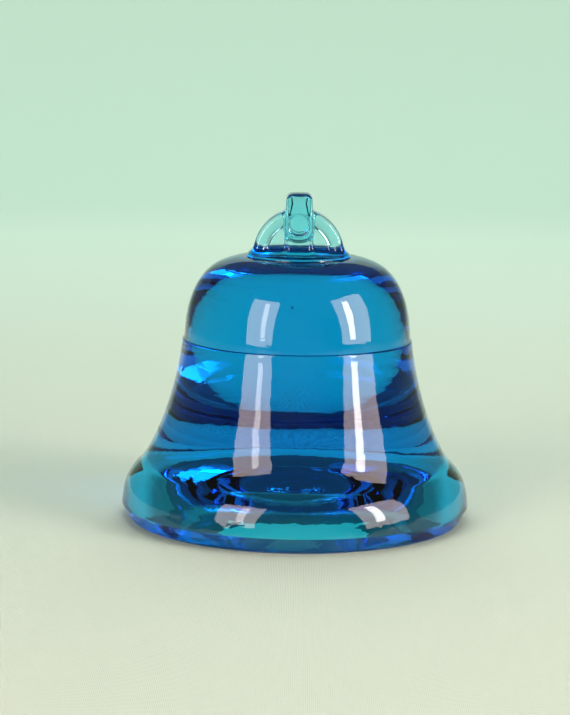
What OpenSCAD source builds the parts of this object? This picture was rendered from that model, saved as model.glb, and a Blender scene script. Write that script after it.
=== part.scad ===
// Pressed glass bell: a solid, bell-shaped paperweight with a moulded hanger crown on top.
// Millimetres, +Z up, origin at the centre of the foot on the surface that it stands on.
// +X runs left to right across the crown arch, and -Y is the front.

/* [Skirt] */
// Radius at the widest part of the lip
lip_r = 41.25; // [34.3:0.05:49.5]
// Height of the crease around the lip, over the foot band
crease_z = 3.7; // [3.1:0.1:4.4]
// Round on the crease
crease_round = 0.5; // [0.4:0.1:0.6]
// Height of the nearly straight band above the crease
band_h = 2.6; // [2.2:0.1:3.1]
// Lean of that band from vertical
band_lean = 7.5; // [6.3:0.1:9]
// Radius of the round that turns the lip in to the flare
lip_round = 11; // [9.2:0.1:13.2]
// Angle from horizontal at which that round meets the flare
lip_turn = 47; // [40:0.5:56]
// Set-back of the foot edge behind the widest part of the lip
foot_setback = 1.6; // [1.3:0.1:2]
// Round on the foot edge
foot_edge_round = 1; // [0.8:0.1:1.2]
// Lean of the foot band, inwards as it goes down
undercut_lean = 12; // [10:0.5:14]
// Height of the skirt, up to the moulding line
skirt_h = 43; // [35.8:0.1:51.6]
// Radius of the waist at the moulding line
waist_r = 27.15; // [22.6:0.05:32.6]
// Lean of the waist wall from vertical
waist_lean = 5.9; // [4.9:0.1:7.1]

/* [Base recess] */
// Radius of the recess at the foot, before its mouth is rounded
recess_r = 31; // [25.9:0.1:36]
// Height of the recess where its wall and ceiling would meet
recess_h = 5; // [4.2:0.1:6]
// Rise of the domed ceiling from there to the middle
recess_dome = 8; // [6.7:0.1:9.6]
// Round between the wall and the ceiling
recess_fillet = 6; // [5:0.1:7.2]
// Lean of the recess wall, inwards as it goes up
recess_lean = 35; // [30:0.5:42]
// Round at the mouth of the recess
mouth_round = 2; // [1.7:0.1:2.4]

/* [Dome] */
// Step in from the skirt to the dome at the moulding line
mould_step = 0.45; // [0.35:0.05:0.6]
// Height of the dome above the moulding line
dome_h = 19.4; // [16.1:0.1:23.3]
// Radius at the shoulder, where the dome turns over
shoulder_r = 20.1; // [16.7:0.1:24.2]
// Depth of the shoulder below the dome's flat top
shoulder_drop = 2.4; // [2:0.1:2.9]
// Slope of the dome at the shoulder, from horizontal
shoulder_slope = 35.5; // [29.5:0.5:42.5]
// Lean of the dome wall at the moulding line, from vertical
dome_lean = 1.5; // [1.2:0.1:1.8]

/* [Crown] */
// Outer radius of the arch that carries the knuckle
arch_r = 10.7; // [8.9:0.1:12.9]
// Thickness of the arch strap, in to out
arch_t = 2.8; // [2.3:0.1:3.4]
// Depth of the arch strap, front to back
arch_w = 6.4; // [5.3:0.1:7.7]
// Round on the outer edges of the arch strap
arch_round = 1.1; // [0.9:0.1:1.1]
// Thickness of the glass web inside the arch
web_t = 4.4; // [3.6:0.1:5.3]
// Width of the ledge that the pad leaves around the arch
pad_ledge = 0.9; // [0.7:0.1:1.1]
// Height of the pad above the dome
pad_h = 0.5; // [0.4:0.05:0.6]
// Width of the knuckle, left to right
knuckle_w = 6.2; // [5.1:0.1:7.5]
// Depth of the knuckle, front to back
knuckle_d = 12.4; // [10.3:0.1:14.9]
// Height of the knuckle, over its round underside
knuckle_h = 11.4; // [9.5:0.1:13.7]
// Round on the knuckle's top edges
knuckle_round = 1.9; // [1.5:0.1:2.3]
// Round over the knuckle's top, front to back
knuckle_nose = 5.1; // [4.2:0.1:5.1]
// Round under the knuckle's heel, front to back
knuckle_heel = 2.4; // [2:0.1:2.9]
// Gap from the pad to the knuckle's round underside
knuckle_lift = 3.2; // [2.6:0.1:3.9]
// Radius of the dimple in the knuckle's front and back faces
dimple_r = 2.5; // [2:0.1:2.6]
// Depth of the dimple
dimple_depth = 0.6; // [0.5:0.1:0.8]
// Height of the dimple's centre above the middle of the knuckle's round underside
dimple_rise = 1.1; // [0.9:0.1:1.3]
// Set-back of the post's sides behind the knuckle's
post_inset = 0.4; // [0.3:0.05:0.5]

/* [Hidden] */

$fn = 96;
glass = [0.10, 0.55, 0.78, 0.55];
crown_glass = [0.45, 0.80, 0.85, 0.50];

// How far each curve keeps the direction of its ends: a length, then shares of its rise
flare_pull_low = 5.25;
flare_pull_high = 0.42;
wall_pull_low = 0.42;
wall_pull_high = 0.34;

// Skirt outline, worked out from the sizes above
crease_middle = [lip_r - crease_round, crease_z];
band_start = crease_middle + crease_round * [cos(band_lean), sin(band_lean)];
band_top = band_start + band_h * [-tan(band_lean), 1];
lip_middle = band_top - lip_round * [cos(band_lean), sin(band_lean)];
flare_start = lip_middle + lip_round * [cos(lip_turn), sin(lip_turn)];
waist = [waist_r, skirt_h - mould_step];

// Recess outline: where the wall and ceiling lines meet, and the round between them
recess_corner = [recess_r - recess_h * tan(recess_lean), recess_h];
ceiling_fall = atan(2 * recess_dome / recess_corner[0]);
fillet_run = recess_fillet * tan((90 - recess_lean - ceiling_fall) / 2);
fillet_middle = recess_corner + fillet_run * [sin(recess_lean), -cos(recess_lean)]
    - recess_fillet * [cos(recess_lean), sin(recess_lean)];
fillet_end = fillet_middle + recess_fillet * [sin(ceiling_fall), cos(ceiling_fall)];
mouth_run = mouth_round * tan((90 - recess_lean) / 2);

// Dome outline
dome_r = waist_r - mould_step;
dome_top = skirt_h + dome_h;
shoulder_z = dome_top - shoulder_drop;
wall_rise = shoulder_z - skirt_h;

// Crown places
pad_top = dome_top + pad_h;
pad_r = arch_r + pad_ledge;
pad_foot_r = pad_r + pad_h;
arch_in = arch_r - arch_t;
arch_inner_round = arch_round / 2;
knuckle_low = pad_top + knuckle_lift;
knuckle_top = knuckle_low + knuckle_h;
knuckle_under_r = knuckle_w / 2;
knuckle_mid = knuckle_low + knuckle_under_r;
dimple_z = knuckle_mid + dimple_rise;
post_half = knuckle_under_r - post_inset;

// Points along each kind of curve
flare_steps = 36;
wall_steps = 24;
cap_steps = 10;
ceiling_steps = 12;
round_steps = 8;

// A circular arc of points from angle a0 to a1
function arc(c, r, a0, a1, n) =
    [for (i = [0:n]) c + r * [cos(a0 + (a1 - a0) * i / n), sin(a0 + (a1 - a0) * i / n)]];

// A cubic curve from p0 to p3, with p1 and p2 as its handles
function bezier(p0, p1, p2, p3, n) =
    [for (i = [0:n]) let (t = i / n, u = 1 - t)
        u * u * u * p0 + 3 * u * u * t * p1 + 3 * u * t * t * p2 + t * t * t * p3];

// The same list without its first point, for joining outlines end to end
function rest(list) = [for (i = [1:len(list) - 1]) list[i]];

// Unit vector at an angle from the radial axis
function direction(angle) = [cos(angle), sin(angle)];

// Foot edge, crease, lip, flare and waist, from the foot up to the moulding line
function skirt_outline() = concat(
    arc([lip_r - foot_setback - foot_edge_round, foot_edge_round],
        foot_edge_round, -90, -undercut_lean, round_steps),
    arc(crease_middle, crease_round, -undercut_lean, band_lean, 4),
    arc(lip_middle, lip_round, band_lean, lip_turn, 16),
    rest(bezier(flare_start, flare_start + flare_pull_low * direction(lip_turn + 90),
        waist - flare_pull_high * (waist[1] - flare_start[1]) * direction(waist_lean + 90),
        waist, flare_steps)),
    rest(arc(waist - [mould_step, 0], mould_step, 0, 90, 4)));

// Recess from its ceiling's centre out, round its corner, and down its wall to the foot
function recess_outline() = concat(
    [for (i = [0:ceiling_steps - 1]) let (r = fillet_end[0] * i / ceiling_steps)
        [r, fillet_end[1] + recess_dome * (pow(fillet_end[0], 2) - pow(r, 2))
            / pow(recess_corner[0], 2)]],
    arc(fillet_middle, recess_fillet, 90 - ceiling_fall, recess_lean, wall_steps),
    arc([recess_r + mouth_run, mouth_round], mouth_round, 180 + recess_lean, 270, round_steps));

// Dome wall, shoulder and cap, from the moulding line up to the flat top
function dome_outline() =
    let (base = [dome_r, skirt_h], shoulder = [shoulder_r, shoulder_z])
    concat(
        bezier(base, base + wall_pull_low * wall_rise * direction(dome_lean + 90),
            shoulder + wall_pull_high * wall_rise * direction(-shoulder_slope),
            shoulder, wall_steps),
        rest(bezier(shoulder, shoulder - shoulder_drop * direction(-shoulder_slope),
            [pad_foot_r + shoulder_drop, dome_top],
            [pad_foot_r, dome_top], cap_steps)));

module skirt() {
    color(glass)
    rotate_extrude()
    polygon(concat([[0, skirt_h]], recess_outline(), skirt_outline()));
}

module dome() {
    color(glass)
    rotate_extrude()
    polygon(concat([[0, skirt_h]], dome_outline(), [[0, dome_top]]));
}

module crown_pad() {
    color(glass)
    translate([0, 0, dome_top])
    cylinder(r1 = pad_foot_r, r2 = pad_r, h = pad_h);
}

// Section of the arch strap: rounded, with the outer edges rounder than the inner ones
module strap_section() {
    polygon(concat(
        arc([arch_r - arch_round, arch_w / 2 - arch_round], arch_round, 0, 90, round_steps),
        arc([arch_in + arch_inner_round, arch_w / 2 - arch_inner_round], arch_inner_round, 90, 180, 4),
        arc([arch_in + arch_inner_round, arch_inner_round - arch_w / 2], arch_inner_round, 180, 270, 4),
        arc([arch_r - arch_round, arch_round - arch_w / 2], arch_round, 270, 360, round_steps)));
}

// Outline of the knuckle seen from the front: round underside, rounded top edges
module knuckle_outline() {
    half = knuckle_w / 2;
    polygon(concat(
        arc([0, knuckle_mid], half, -180, 0, 24),
        arc([half - knuckle_round, knuckle_top - knuckle_round], knuckle_round, 0, 90, round_steps),
        arc([knuckle_round - half, knuckle_top - knuckle_round], knuckle_round, 90, 180, round_steps)));
}

// Outline of the knuckle seen from the side: top and heel rounded front to back
module knuckle_side_outline() {
    half = knuckle_d / 2;
    polygon(concat(
        arc([half - knuckle_nose, knuckle_top - knuckle_nose], knuckle_nose, 0, 90, 12),
        arc([knuckle_nose - half, knuckle_top - knuckle_nose], knuckle_nose, 90, 180, 12),
        arc([knuckle_heel - half, knuckle_low + knuckle_heel], knuckle_heel, 180, 270, round_steps),
        arc([half - knuckle_heel, knuckle_low + knuckle_heel], knuckle_heel, 270, 360, round_steps)));
}

// Lays an XY outline up in the XZ plane and gives it a depth along Y
module stand_up(depth) {
    rotate([90, 0, 0])
    linear_extrude(height = depth, center = true)
    children();
}

// One half of the arch: side is 1 for the right half and -1 for the left
module crown_arch(side) {
    color(crown_glass)
    difference() {
        translate([0, 0, pad_top])
        rotate([90, 0, 0])
        rotate([0, 0, side > 0 ? 0 : 90])
        rotate_extrude(angle = 90)
        strap_section();
        stand_up(arch_w + 2) knuckle_outline();
    }
}

// One panel of glass between the arch, the pad, the post and the knuckle
module crown_web(side) {
    color(crown_glass)
    difference() {
        stand_up(web_t)
        intersection() {
            translate([0, pad_top]) circle(r = arch_in);
            translate([side > 0 ? post_half : -arch_r, pad_top]) square([arch_r - post_half, arch_r]);
        }
        stand_up(web_t + 2) knuckle_outline();
    }
}

module crown_arch_left() crown_arch(-1);
module crown_arch_right() crown_arch(1);
module crown_web_left() crown_web(-1);
module crown_web_right() crown_web(1);

module crown_post() {
    color(crown_glass)
    difference() {
        translate([-post_half, -arch_w / 2, pad_top])
        cube([2 * post_half, arch_w, knuckle_lift + knuckle_under_r]);
        stand_up(arch_w + 2) knuckle_outline();
    }
}

module crown_knuckle() {
    color(crown_glass)
    difference() {
        intersection() {
            stand_up(knuckle_d) knuckle_outline();
            rotate([90, 0, 90])
            linear_extrude(height = knuckle_w + 2, center = true)
            knuckle_side_outline();
        }
        for (side = [-1, 1])
        translate([0, side * (knuckle_d / 2), dimple_z])
        rotate([90, 0, 0])
        cylinder(r = dimple_r, h = 2 * dimple_depth, center = true);
    }
}

skirt();
dome();
crown_pad();
crown_arch_left();
crown_arch_right();
crown_web_left();
crown_web_right();
crown_post();
crown_knuckle();
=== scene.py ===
"""A solid pressed-glass bell paperweight on a pale seamless backdrop.

The real bell is one casting, so its nine CAD nodes are shown as one fused glass piece: a join
drawn inside clear glass would refract like a crack. Lengths are in millimetres until a mesh is
made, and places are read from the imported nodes.
"""
import math

import bpy
import numpy as np
from mathutils import Euler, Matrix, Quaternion, Vector


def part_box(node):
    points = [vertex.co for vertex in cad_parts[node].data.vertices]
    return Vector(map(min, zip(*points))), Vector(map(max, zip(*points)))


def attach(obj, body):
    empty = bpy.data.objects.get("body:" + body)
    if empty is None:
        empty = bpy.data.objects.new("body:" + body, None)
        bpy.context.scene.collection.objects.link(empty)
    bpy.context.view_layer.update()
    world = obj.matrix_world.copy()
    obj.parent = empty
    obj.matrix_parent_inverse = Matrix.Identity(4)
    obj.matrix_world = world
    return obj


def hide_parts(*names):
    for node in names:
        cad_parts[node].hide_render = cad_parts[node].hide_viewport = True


MM = 0.001
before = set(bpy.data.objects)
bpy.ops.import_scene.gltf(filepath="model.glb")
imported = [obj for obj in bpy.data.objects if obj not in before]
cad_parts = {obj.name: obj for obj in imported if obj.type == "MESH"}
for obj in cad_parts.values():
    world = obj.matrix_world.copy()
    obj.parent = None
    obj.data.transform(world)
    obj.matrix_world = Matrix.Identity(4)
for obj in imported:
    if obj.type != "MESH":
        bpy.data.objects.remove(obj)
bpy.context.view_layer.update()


def node_box(node):
    """Lowest and highest corner of a CAD node, in millimetres."""
    low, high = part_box(node)
    return np.array(low) / MM, np.array(high) / MM


# Places taken from the frame
SKIRT_TOP = node_box("skirt")[1][2]
LIP_R = node_box("skirt")[1][0]
DOME_R = node_box("dome")[1][0]
DOME_TOP = node_box("dome")[1][2]
PAD_FOOT_R = node_box("crown_pad")[1][0]
PAD_TOP = node_box("crown_pad")[1][2]
ARCH_R = node_box("crown_arch_right")[1][0]
ARCH_HALF_W = node_box("crown_arch_right")[1][1]
WEB_HALF_T = node_box("crown_web_right")[1][1]
POST_HALF_W = node_box("crown_post")[1][0]
KNUCKLE_LOW, KNUCKLE_HIGH = node_box("crown_knuckle")

# Skirt outline
CREASE_Z = 3.7
CREASE_ROUND = 0.5
LIP_BAND_H = 2.6
LIP_BAND_LEAN = 7.5
LIP_ROUND = 11
LIP_TURN = 47
FOOT_SETBACK = 1.6
FOOT_EDGE_ROUND = 1.0
UNDERCUT_LEAN = 12
WAIST_LEAN = 5.9
MOULD_STEP = 0.45
FLARE_PULL_LOW = 5.25
FLARE_PULL_HIGH_SHARE = 0.42

# Recess under the base
RECESS_R = 31
RECESS_H = 5
RECESS_DOME = 8
RECESS_FILLET = 6
RECESS_LEAN = 35
MOUTH_ROUND = 2

# Dome outline
SHOULDER_R = 20.1
SHOULDER_DROP = 2.4
SHOULDER_SLOPE = 35.5
WALL_LEAN = 1.5
WALL_PULL_LOW_SHARE = 0.42
WALL_PULL_HIGH_SHARE = 0.34

# Crown details
CROWN_SINK = 1.2
ARCH_T = 2.8
ARCH_ROUND = 1.35
PAD_EDGE_ROUND = 0.5
POST_ROUND = 0.7
KNUCKLE_ROUND = 1.9
KNUCKLE_NOSE = 5.1
KNUCKLE_HEEL = 2.4
KNUCKLE_EDGE = 0.7
DIMPLE_R = 2.5
DIMPLE_DEPTH = 0.6
DIMPLE_EDGE = 0.35
DIMPLE_RISE = 0.45 * DIMPLE_R
CROWN_GRID = 0.2
CROWN_MARGIN = 1.0

# Widths of the blends where the crown's features run together
SHARP_BLEND = 0.2
WEB_BLEND = 1.2
POST_BLEND = 1.0
PAD_BLEND = 2.6
KNUCKLE_BLEND = 0.8

# A small seed bubble near the front of the dome
BUBBLE_CENTRE = (-1.2, -20.0, 52.5)
BUBBLE_R = 0.32

SPIN_STEPS = 240
CEILING_STEPS = 16
FILLET_STEPS = 24
MOUTH_STEPS = 8
EDGE_STEPS = 6
LIP_STEPS = 20
FLARE_STEPS = 44
MOULD_STEPS = 4
WALL_STEPS = 34
CAP_STEPS = 12
SHARP_ANGLE = math.radians(32)


def arc(centre, radius, start, end, steps):
    """Points on a circle from one angle to another, in degrees."""
    angles = np.radians(np.linspace(start, end, steps + 1))
    return np.array(centre) + radius * np.column_stack([np.cos(angles), np.sin(angles)])


def bezier(p0, p1, p2, p3, steps):
    """Points on a cubic curve from p0 to p3."""
    t = np.linspace(0, 1, steps + 1)[:, None]
    u = 1 - t
    p0, p1, p2, p3 = (np.array(p, float) for p in (p0, p1, p2, p3))
    return u**3 * p0 + 3 * u * u * t * p1 + 3 * u * t * t * p2 + t**3 * p3


def direction(degrees):
    """Unit vector at an angle from the radial axis."""
    return np.array([math.cos(math.radians(degrees)), math.sin(math.radians(degrees))])


def recess_outline():
    """Recess from the centre of its domed ceiling out, round its corner, down and out to the foot."""
    lean = math.radians(RECESS_LEAN)
    up_wall = np.array([-math.sin(lean), math.cos(lean)])
    corner = np.array([RECESS_R - RECESS_H * math.tan(lean), RECESS_H])
    fall = math.atan(2 * RECESS_DOME / corner[0])
    inward = np.array([-math.cos(fall), math.sin(fall)])
    half_turn = math.acos(-up_wall @ inward) / 2
    run = RECESS_FILLET / math.tan(half_turn)
    centre = corner - up_wall * run - RECESS_FILLET * np.array([math.cos(lean), math.sin(lean)])
    fillet = arc(centre, RECESS_FILLET, 90 - math.degrees(fall), RECESS_LEAN,
                 FILLET_STEPS)
    radii = np.linspace(0, fillet[0][0], CEILING_STEPS)[:-1]
    peak = fillet[0][1] + RECESS_DOME * (fillet[0][0] / corner[0]) ** 2
    ceiling = np.column_stack([radii, peak - RECESS_DOME * (radii / corner[0]) ** 2])
    mouth_run = MOUTH_ROUND * math.tan((math.pi / 2 - lean) / 2)
    mouth = arc((RECESS_R + mouth_run, MOUTH_ROUND), MOUTH_ROUND, 180 + RECESS_LEAN, 270,
                MOUTH_STEPS)
    return np.vstack([ceiling, fillet, mouth])


def skirt_outline():
    """Foot edge, lip, flare and waist, from the foot up to the moulding line."""
    edge = FOOT_EDGE_ROUND
    foot_turn = -UNDERCUT_LEAN
    foot = arc((LIP_R - FOOT_SETBACK - edge, edge), edge, -90, foot_turn, EDGE_STEPS)
    crease = arc((LIP_R - CREASE_ROUND, CREASE_Z), CREASE_ROUND, foot_turn, LIP_BAND_LEAN,
                 EDGE_STEPS)
    rise = np.array([-math.tan(math.radians(LIP_BAND_LEAN)), 1]) * LIP_BAND_H
    band_top = crease[-1] + rise
    lip = arc(band_top - LIP_ROUND * direction(LIP_BAND_LEAN), LIP_ROUND, LIP_BAND_LEAN,
              LIP_TURN, LIP_STEPS)
    waist = np.array([DOME_R + MOULD_STEP, SKIRT_TOP - MOULD_STEP])
    pull_high = FLARE_PULL_HIGH_SHARE * (waist[1] - lip[-1][1])
    flare = bezier(lip[-1], lip[-1] + FLARE_PULL_LOW * direction(LIP_TURN + 90),
                   waist - pull_high * direction(WAIST_LEAN + 90), waist,
                   FLARE_STEPS)
    step = arc(waist - (MOULD_STEP, 0), MOULD_STEP, 0, 90, MOULD_STEPS)
    return np.vstack([foot, crease, lip, flare[1:], step[1:]])


def dome_outline():
    """Dome wall, shoulder and cap, from the moulding line to the middle of the flat top."""
    base = np.array([DOME_R, SKIRT_TOP])
    shoulder = np.array([SHOULDER_R, DOME_TOP - SHOULDER_DROP])
    rise = shoulder[1] - SKIRT_TOP
    down_slope = direction(-SHOULDER_SLOPE)
    wall = bezier(base, base + WALL_PULL_LOW_SHARE * rise * direction(WALL_LEAN + 90),
                  shoulder + WALL_PULL_HIGH_SHARE * rise * down_slope, shoulder, WALL_STEPS)
    cap_end = np.array([PAD_FOOT_R, DOME_TOP])
    cap = bezier(shoulder, shoulder - SHOULDER_DROP * down_slope,
                 cap_end + (SHOULDER_DROP, 0), cap_end, CAP_STEPS)
    return np.vstack([wall[1:], cap[1:], [(0, DOME_TOP)]])


def spun_mesh(outline):
    """Turns an outline that starts and ends on the axis into a closed mesh."""
    outline = np.array(outline)
    inner = outline[1:-1]
    turns = np.linspace(0, 2 * math.pi, SPIN_STEPS, endpoint=False)
    rings = np.stack([np.outer(inner[:, 0], np.cos(turns)), np.outer(inner[:, 0], np.sin(turns)),
                      np.repeat(inner[:, 1:], SPIN_STEPS, axis=1)], axis=-1).reshape(-1, 3)
    verts = np.vstack([[(0, 0, outline[0, 1])], rings, [(0, 0, outline[-1, 1])]])
    step = np.arange(SPIN_STEPS)
    after = (step + 1) % SPIN_STEPS
    faces = [(0, 1 + a, 1 + b) for a, b in zip(after, step)]
    for ring in range(len(inner) - 1):
        low = 1 + ring * SPIN_STEPS
        high = low + SPIN_STEPS
        faces += [(low + a, low + b, high + b, high + a) for a, b in zip(step, after)]
    last = 1 + (len(inner) - 1) * SPIN_STEPS
    faces += [(last + a, last + b, len(verts) - 1) for a, b in zip(step, after)]
    return verts, faces


def rounded_box(u, v, half_u, half_v, radius):
    """Signed distance to a rectangle with rounded corners."""
    qu = np.abs(u) - half_u + radius
    qv = np.abs(v) - half_v + radius
    outside = np.hypot(np.maximum(qu, 0), np.maximum(qv, 0))
    return np.minimum(np.maximum(qu, qv), 0) + outside - radius


def blend_in(a, b, width):
    """Union of two distance fields with a fillet of about that width."""
    mix = np.clip(0.5 + 0.5 * (b - a) / width, 0, 1)
    return b + (a - b) * mix - width * mix * (1 - mix)


def trim(a, b, width):
    """Overlap of two distance fields with a rounded edge of about that width."""
    return -blend_in(-a, -b, width)


def knuckle_field(x, y, z):
    """Knuckle: round underside, rounded top and heel, and a dimple in each end."""
    half = (KNUCKLE_HIGH - KNUCKLE_LOW) / 2
    middle = (KNUCKLE_HIGH[2] + KNUCKLE_LOW[2]) / 2
    upper = z > middle
    front = rounded_box(x, z - middle, half[0], half[2], np.where(upper, KNUCKLE_ROUND, half[0]))
    side = rounded_box(y, z - middle, half[1], half[2], np.where(upper, KNUCKLE_NOSE, KNUCKLE_HEEL))
    block = trim(front, side, KNUCKLE_EDGE)
    dimple_z = KNUCKLE_LOW[2] + half[0] + DIMPLE_RISE
    bore = np.hypot(x, z - dimple_z) - DIMPLE_R
    ends = half[1] - DIMPLE_DEPTH - np.abs(y)
    dimples = trim(bore, ends, DIMPLE_EDGE)
    return trim(block, -dimples, DIMPLE_EDGE)


def crown_field(x, y, z):
    """Signed distance to the crown: pad, arch, webs, post and knuckle, run together as cast."""
    bottom = DOME_TOP - CROWN_SINK
    above = bottom - z
    reach = np.where(z > PAD_TOP, np.hypot(x, z - PAD_TOP), np.abs(x))
    middle = (PAD_TOP + bottom) / 2
    pad = rounded_box(np.hypot(x, y), z - middle, PAD_FOOT_R, PAD_TOP - middle, PAD_EDGE_ROUND)
    arch = rounded_box(reach - ARCH_R + ARCH_T / 2, y, ARCH_T / 2, ARCH_HALF_W, ARCH_ROUND)
    web = trim(np.abs(y) - WEB_HALF_T, reach - ARCH_R + ARCH_T / 2, SHARP_BLEND)
    post = rounded_box(x, y, POST_HALF_W, ARCH_HALF_W, POST_ROUND)
    post = trim(post, z - KNUCKLE_LOW[2] - POST_HALF_W, SHARP_BLEND)
    ring = blend_in(arch, web, WEB_BLEND)
    ring = blend_in(ring, post, POST_BLEND)
    ring = np.maximum(ring, above)
    ring = blend_in(ring, pad, PAD_BLEND)
    return blend_in(ring, knuckle_field(x, y, z), KNUCKLE_BLEND)


def surface_points(field, points, rounds=3):
    """Moves points that are close to a field's surface onto it."""
    nudge = 0.01
    for _ in range(rounds):
        value = field(*points.T)
        slope = np.stack([
            (field(*(points + shift).T) - field(*(points - shift).T)) / (2 * nudge)
            for shift in np.eye(3) * nudge], axis=-1)
        points = points - slope * (value / np.maximum((slope**2).sum(axis=1), 0.05))[:, None]
    return points


def mesh_of_field(field, low, high, step):
    """Closed quad mesh of a distance field's surface: one point per grid cell that it crosses."""
    axes = [np.arange(a, b + step, step) for a, b in zip(low, high)]
    values = field(*np.meshgrid(*axes, indexing="ij"))
    inside = values < 0
    cells = np.array(values.shape) - 1
    total = np.zeros((*cells, 3))
    count = np.zeros(cells)
    crossings = []
    for axis in range(3):
        near = [slice(None)] * 3
        far = [slice(None)] * 3
        near[axis] = slice(None, -1)
        far[axis] = slice(1, None)
        a, b = values[tuple(near)], values[tuple(far)]
        index = np.argwhere(inside[tuple(near)] != inside[tuple(far)])
        share = a[tuple(index.T)] / (a[tuple(index.T)] - b[tuple(index.T)])
        place = index.astype(float)
        place[:, axis] += share
        others = [(axis + 1) % 3, (axis + 2) % 3]
        ring = []
        for du, dv in ((-1, -1), (0, -1), (0, 0), (-1, 0)):
            cell = index.copy()
            cell[:, others[0]] += du
            cell[:, others[1]] += dv
            np.add.at(total, tuple(cell.T), place)
            np.add.at(count, tuple(cell.T), 1)
            ring.append(np.ravel_multi_index(tuple(cell.T), tuple(cells)))
        ring = np.column_stack(ring)
        flip = ~inside[tuple(near)][tuple(index.T)]
        ring[flip] = ring[flip][:, ::-1]
        crossings.append(ring)
    used = np.flatnonzero(count)
    points = total.reshape(-1, 3)[used] / count.reshape(-1)[used][:, None]
    points = surface_points(field, np.array(low) + points * step)
    number = np.full(count.size, -1)
    number[used] = np.arange(len(used))
    return points, number[np.vstack(crossings)].tolist()


def bubble_mesh(rings=10, steps=16):
    """Small hollow in the glass: a ball whose faces point inwards."""
    ring = [(BUBBLE_R * math.sin(a), BUBBLE_R * math.cos(a)) for a in np.linspace(0, math.pi, rings)]
    turns = [2 * math.pi * k / steps for k in range(steps)]
    verts = [(0, 0, BUBBLE_R)]
    verts += [(r * math.cos(t), r * math.sin(t), z) for r, z in ring[1:-1] for t in turns]
    verts.append((0, 0, -BUBBLE_R))
    faces = [(0, 1 + (k + 1) % steps, 1 + k) for k in range(steps)]
    for i in range(rings - 3):
        low, high = 1 + i * steps, 1 + (i + 1) * steps
        faces += [(low + k, low + (k + 1) % steps, high + (k + 1) % steps, high + k)
                  for k in range(steps)]
    last = 1 + (rings - 3) * steps
    faces += [(last + k, last + (k + 1) % steps, len(verts) - 1) for k in range(steps)]
    return np.array(verts) + BUBBLE_CENTRE, faces


def make_object(name, verts, faces):
    """Adds a smooth-shaded mesh object from points in millimetres."""
    mesh = bpy.data.meshes.new(name)
    mesh.from_pydata((np.array(verts) * MM).tolist(), [], faces)
    mesh.shade_smooth()
    piece = bpy.data.objects.new(name, mesh)
    bpy.context.scene.collection.objects.link(piece)
    return piece


def apply_modifiers(piece):
    """Replaces a piece's mesh with what its modifiers make of it."""
    graph = bpy.context.evaluated_depsgraph_get()
    mesh = bpy.data.meshes.new_from_object(piece.evaluated_get(graph))
    piece.modifiers.clear()
    piece.data = mesh


def fuse(piece, other):
    """Joins another closed mesh to a piece as one solid."""
    union = piece.modifiers.new("fuse", "BOOLEAN")
    union.operation = "UNION"
    union.solver = "MANIFOLD"
    union.object = other
    apply_modifiers(piece)
    bpy.data.objects.remove(other)


def build_bell():
    """The whole bell as one closed glass solid, with its seed bubble."""
    outline = np.vstack([recess_outline(), skirt_outline(), dome_outline()])
    bell = make_object("bell_glass", *spun_mesh(outline))
    reach = np.array([PAD_FOOT_R, PAD_FOOT_R, 0])
    low = -reach + (0, 0, DOME_TOP - CROWN_SINK) - CROWN_MARGIN
    high = reach + (0, 0, KNUCKLE_HIGH[2]) + CROWN_MARGIN
    crown = make_object("crown_mesh", *mesh_of_field(crown_field, low, high, CROWN_GRID))
    fuse(bell, crown)
    hollow = make_object("bubble_mesh", *bubble_mesh())
    with bpy.context.temp_override(active_object=bell, selected_editable_objects=[bell, hollow]):
        bpy.ops.object.join()
    bell.data.shade_smooth()
    bell.data.set_sharp_from_angle(angle=SHARP_ANGLE)
    return bell


# Glass: how much of each colour it takes out per millimetre
GLASS_LOSS = (0.13, 0.0185, 0.002)
GLASS_IOR = 1.5
PER_METRE = 1000

# Glass skin: textures' scales per metre, heights in metres, and where handling dulls the gloss
MOULD_WAVE_SCALE = 95
MOULD_WAVE_DEPTH = 0.00012
RIPPLE_SCALE = 260
RIPPLE_DEPTH = 0.00003
SMUDGE_SCALE = 60
SMUDGE_DETAIL = 4
SMUDGE_RANGE = (0.55, 0.8)
SMUDGE_ROUGHNESS = 0.05


def add_map(material, source, start, end, low=0, high=1):
    """Maps a value from start..end to low..high, and gives the result's socket."""
    node = material.node_tree.nodes.new("ShaderNodeMapRange")
    for name, value in (("From Min", start), ("From Max", end), ("To Min", low), ("To Max", high)):
        node.inputs[name].default_value = value
    material.node_tree.links.new(source, node.inputs["Value"])
    return node.outputs["Result"]


def add_height(material, texture_type, settings, inputs, depth, stretch, base=None):
    """Adds a bump from a texture of the surface's place, on top of an earlier bump."""
    nodes, links = material.node_tree.nodes, material.node_tree.links
    place = nodes.new("ShaderNodeTexCoord")
    mapping = nodes.new("ShaderNodeMapping")
    mapping.inputs["Scale"].default_value = stretch
    links.new(place.outputs["Object"], mapping.inputs["Vector"])
    texture = nodes.new(texture_type)
    for name, value in settings.items():
        setattr(texture, name, value)
    for name, value in inputs.items():
        texture.inputs[name].default_value = value
    links.new(mapping.outputs["Vector"], texture.inputs["Vector"])
    bump = nodes.new("ShaderNodeBump")
    bump.inputs["Distance"].default_value = depth
    links.new(texture.outputs["Fac"], bump.inputs["Height"])
    if base:
        links.new(base.outputs["Normal"], bump.inputs["Normal"])
    return bump


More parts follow.
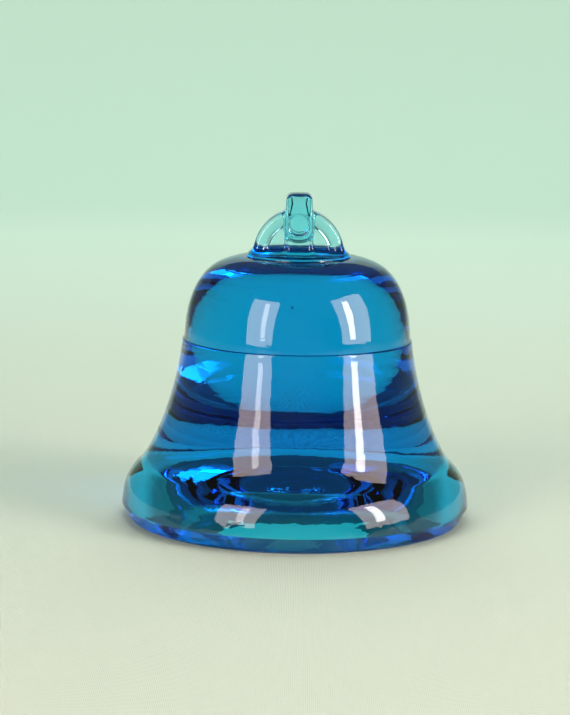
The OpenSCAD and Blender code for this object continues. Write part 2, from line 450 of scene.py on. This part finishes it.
def glass_material():
    """Clear blue glass: colour from its depth, and a fire-polished skin with faint mould waves."""
    material = bpy.data.materials.new("pressed_glass")
    material.use_nodes = True
    nodes, links = material.node_tree.nodes, material.node_tree.links
    shader = nodes["Principled BSDF"]
    shader.inputs["Base Color"].default_value = (1, 1, 1, 1)
    shader.inputs["IOR"].default_value = GLASS_IOR
    shader.inputs["Transmission Weight"].default_value = 1
    waves = add_height(material, "ShaderNodeTexNoise", {}, {"Scale": MOULD_WAVE_SCALE, "Detail": 1.0},
                       MOULD_WAVE_DEPTH, (0.4, 0.4, 2.2))
    ripples = add_height(material, "ShaderNodeTexNoise", {}, {"Scale": RIPPLE_SCALE, "Detail": 2.0},
                         RIPPLE_DEPTH, (1, 1, 1.6), waves)
    links.new(ripples.outputs["Normal"], shader.inputs["Normal"])
    smudge = nodes.new("ShaderNodeTexNoise")
    smudge.inputs["Scale"].default_value = SMUDGE_SCALE
    smudge.inputs["Detail"].default_value = SMUDGE_DETAIL
    place = nodes.new("ShaderNodeTexCoord")
    links.new(place.outputs["Object"], smudge.inputs["Vector"])
    links.new(add_map(material, smudge.outputs["Fac"], *SMUDGE_RANGE, 0, SMUDGE_ROUGHNESS),
              shader.inputs["Roughness"])
    most = max(GLASS_LOSS)
    depth = nodes.new("ShaderNodeVolumeAbsorption")
    depth.inputs["Color"].default_value = (*[1 - loss / most for loss in GLASS_LOSS], 1)
    depth.inputs["Density"].default_value = most * PER_METRE
    links.new(depth.outputs["Volume"], nodes["Material Output"].inputs["Volume"])
    return material


# Stage: a round floor that curves up into a wall on every side
FLOOR_DROP = 0.05 * MM
FLOOR_R = 0.72
COVE_R = 0.25
WALL_TOP = 0.45
COVE_STEPS = 18
STAGE_STEPS = 96
STAGE_HALF = 1.0
# Painted light: the cloth itself glows behind the bell, rising from GLOW_START to GLOW_END along the
# depth
STAGE_GLOW = 0.42
GLOW_START = 0.05
GLOW_END = 0.6
# Painted shade: the cloth darkens from SIDE_START to SIDE_END out from the middle, down to SIDE_SHADE
SIDE_START = 0.22
SIDE_END = 0.5
SIDE_SHADE = 0.35
WEAVE_SCALE = 900
WEAVE_DEPTH = 0.00004
# Cloth colour from front (0) to back (1), with painted shade: dark at the front and a little darker
# just behind the bell
CLOTH_TINTS_AND_SHADE = (
    (0.20, (0.26, 0.30, 0.27, 1)),
    (0.42, (0.47, 0.55, 0.47, 1)),
    (0.60, (0.44, 0.54, 0.45, 1)),
    (0.90, (0.37, 0.52, 0.43, 1)),
)


def stage_material():
    """Pale mint woven cloth with painted shade at the sides and front, and a painted glow behind the
    bell.
    """
    material = bpy.data.materials.new("backdrop_cloth")
    material.use_nodes = True
    nodes, links = material.node_tree.nodes, material.node_tree.links
    shader = nodes["Principled BSDF"]
    shader.inputs["Roughness"].default_value = 0.9
    shader.inputs["Specular IOR Level"].default_value = 0.1
    place = nodes.new("ShaderNodeNewGeometry")
    split = nodes.new("ShaderNodeSeparateXYZ")
    links.new(place.outputs["Position"], split.inputs[0])
    depth = add_map(material, split.outputs["Y"], -STAGE_HALF, STAGE_HALF)
    # Cloth colour along the depth, with painted shade at the front and just behind the bell
    tint_and_shade = nodes.new("ShaderNodeValToRGB")
    ramp = tint_and_shade.color_ramp
    ramp.elements[0].position, ramp.elements[0].color = CLOTH_TINTS_AND_SHADE[0]
    ramp.elements[1].position, ramp.elements[1].color = CLOTH_TINTS_AND_SHADE[-1]
    for position, colour in CLOTH_TINTS_AND_SHADE[1:-1]:
        ramp.elements.new(position).color = colour
    links.new(depth, tint_and_shade.inputs["Fac"])
    # Painted shade towards the sides, multiplied into the cloth colour
    side = nodes.new("ShaderNodeMath")
    side.operation = "ABSOLUTE"
    links.new(split.outputs["X"], side.inputs[0])
    falloff = add_map(material, side.outputs["Value"], SIDE_START, SIDE_END, 1, SIDE_SHADE)
    shade = nodes.new("ShaderNodeMix")
    shade.data_type = "RGBA"
    shade.blend_type = "MULTIPLY"
    shade.inputs["Factor"].default_value = 1
    links.new(tint_and_shade.outputs["Color"], shade.inputs["A"])
    links.new(falloff, shade.inputs["B"])
    links.new(shade.outputs["Result"], shader.inputs["Base Color"])
    # Painted light: the cloth emits its own shaded colour behind the bell
    glow = add_map(material, split.outputs["Y"], GLOW_START, GLOW_END, 0, STAGE_GLOW)
    links.new(shade.outputs["Result"], shader.inputs["Emission Color"])
    links.new(glow, shader.inputs["Emission Strength"])
    weave = None
    for threads in "XY":
        weave = add_height(material, "ShaderNodeTexWave", {"bands_direction": threads},
                           {"Scale": WEAVE_SCALE, "Distortion": 1.5, "Detail": 1.0}, WEAVE_DEPTH,
                           (1, 1, 1), weave)
    links.new(weave.outputs["Normal"], shader.inputs["Normal"])
    return material


def build_stage():
    """Round floor, cove and wall as one surface."""
    curve = arc((FLOOR_R, COVE_R), COVE_R, -90, 0, COVE_STEPS)
    outline = np.vstack([curve, [(FLOOR_R + COVE_R, WALL_TOP)]])
    turns = np.linspace(0, 2 * math.pi, STAGE_STEPS + 1)[:-1]
    verts = [(0, 0, -FLOOR_DROP)]
    verts += [(r * math.cos(t), r * math.sin(t), z - FLOOR_DROP) for r, z in outline for t in turns]
    count = len(turns)
    faces = [(0, 1 + k, 1 + (k + 1) % count) for k in range(count)]
    for i in range(len(outline) - 1):
        low, high = 1 + i * count, 1 + (i + 1) * count
        faces += [(low + k, high + k, high + (k + 1) % count, low + (k + 1) % count)
                  for k in range(count)]
    stage = make_object("stage", np.array(verts) / MM, faces)
    stage.data.materials.append(stage_material())


# Lights, in metres and degrees
AIM_HEIGHT = 0.025


def softbox(name, azimuth, elevation, distance, size, power, colour):
    """Area light aimed at the bell; azimuth 0 is in front, and positive goes to the right."""
    light = bpy.data.lights.new(name, "AREA")
    light.shape = "RECTANGLE"
    light.size, light.size_y = size
    light.energy = power
    light.color = colour
    a, e = math.radians(azimuth), math.radians(elevation)
    towards = Vector((math.sin(a) * math.cos(e), -math.cos(a) * math.cos(e), math.sin(e)))
    lamp = bpy.data.objects.new(name, light)
    lamp.location = Vector((0, 0, AIM_HEIGHT)) + towards * distance
    lamp.rotation_mode = "QUATERNION"
    lamp.rotation_quaternion = towards.to_track_quat("Z", "Y")
    lamp.visible_camera = False
    bpy.context.scene.collection.objects.link(lamp)
    return lamp


BOX_DISTANCE = 0.66
BOX_ELEVATION = 21
BOX_HEIGHT = 0.512
STRIP_HEIGHT = 0.37
STRIP_GAP = 0.01
WARM_PINK = (1, 0.80, 0.72)
WARM_WHITE = (1, 0.93, 0.90)
# Each box: side, azimuth, width and power, then its strip's turn, width and power
BOXES = (
    ("left", -38, 0.33, 3.1, 3, 0.058, 0.5),
    ("right", 62, 0.41, 3.8, -5, 0.074, 1.5),
)
FILL_ELEVATION = 62
FILL_DISTANCE = 0.9
FILL_SIZE = 0.9
FILL_POWER = 9
FILL_COLOUR = (1, 1, 0.97)
ROOM_COLOUR = (0.85, 1.0, 0.92, 1)
ROOM_STRENGTH = 0.12


def build_lights():
    """Two softboxes in front, each with a brighter strip, a fill from above and a faint room."""
    for side, azimuth, width, power, strip_turn, strip_width, strip_power in BOXES:
        softbox("softbox_" + side, azimuth, BOX_ELEVATION, BOX_DISTANCE, (width, BOX_HEIGHT), power,
                WARM_PINK)
        softbox("strip_" + side, azimuth + strip_turn, BOX_ELEVATION, BOX_DISTANCE - STRIP_GAP,
                (strip_width, STRIP_HEIGHT), strip_power, WARM_WHITE)
    fill = softbox("fill", 180, FILL_ELEVATION, FILL_DISTANCE, (FILL_SIZE, FILL_SIZE), FILL_POWER,
                   FILL_COLOUR)
    fill.visible_glossy = False
    fill.visible_transmission = False
    world = bpy.data.worlds.new("room")
    world.use_nodes = True
    background = world.node_tree.nodes["Background"]
    background.inputs["Color"].default_value = ROOM_COLOUR
    background.inputs["Strength"].default_value = ROOM_STRENGTH
    bpy.context.scene.world = world


# Camera, in metres and degrees, with its lens and sensor in millimetres and its shift as a share
CAMERA_DISTANCE = 0.577
CAMERA_HEIGHT = 0.132
CAMERA_PITCH = 9.237
CAMERA_ROLL = 0.9
CAMERA_SENSOR = 36
CAMERA_LENS = 124.21259
CAMERA_SHIFT = -0.0167832


def build_camera():
    """Camera in front, a little above the bell, tilted down and rolled slightly."""
    data = bpy.data.cameras.new("camera")
    data.lens = CAMERA_LENS
    data.sensor_width = CAMERA_SENSOR
    data.shift_x = CAMERA_SHIFT
    camera = bpy.data.objects.new("camera", data)
    camera.location = (0, -CAMERA_DISTANCE, CAMERA_HEIGHT)
    tilt = Euler((math.radians(90 - CAMERA_PITCH), 0, 0)).to_quaternion()
    camera.rotation_mode = "QUATERNION"
    camera.rotation_quaternion = tilt @ Quaternion((0, 0, 1), math.radians(CAMERA_ROLL))
    bpy.context.scene.collection.objects.link(camera)
    bpy.context.scene.camera = camera


LIGHT_BOUNCES = 24


def set_colour_and_light_paths():
    """Plain display colours, and enough bounces for thick glass."""
    scene = bpy.context.scene
    scene.view_settings.view_transform = "Standard"
    scene.cycles.max_bounces = LIGHT_BOUNCES
    scene.cycles.transmission_bounces = LIGHT_BOUNCES


build_camera()
build_stage()
build_lights()
set_colour_and_light_paths()
bell = build_bell()
bell.data.materials.clear()
bell.data.materials.append(glass_material())
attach(bell, "root")
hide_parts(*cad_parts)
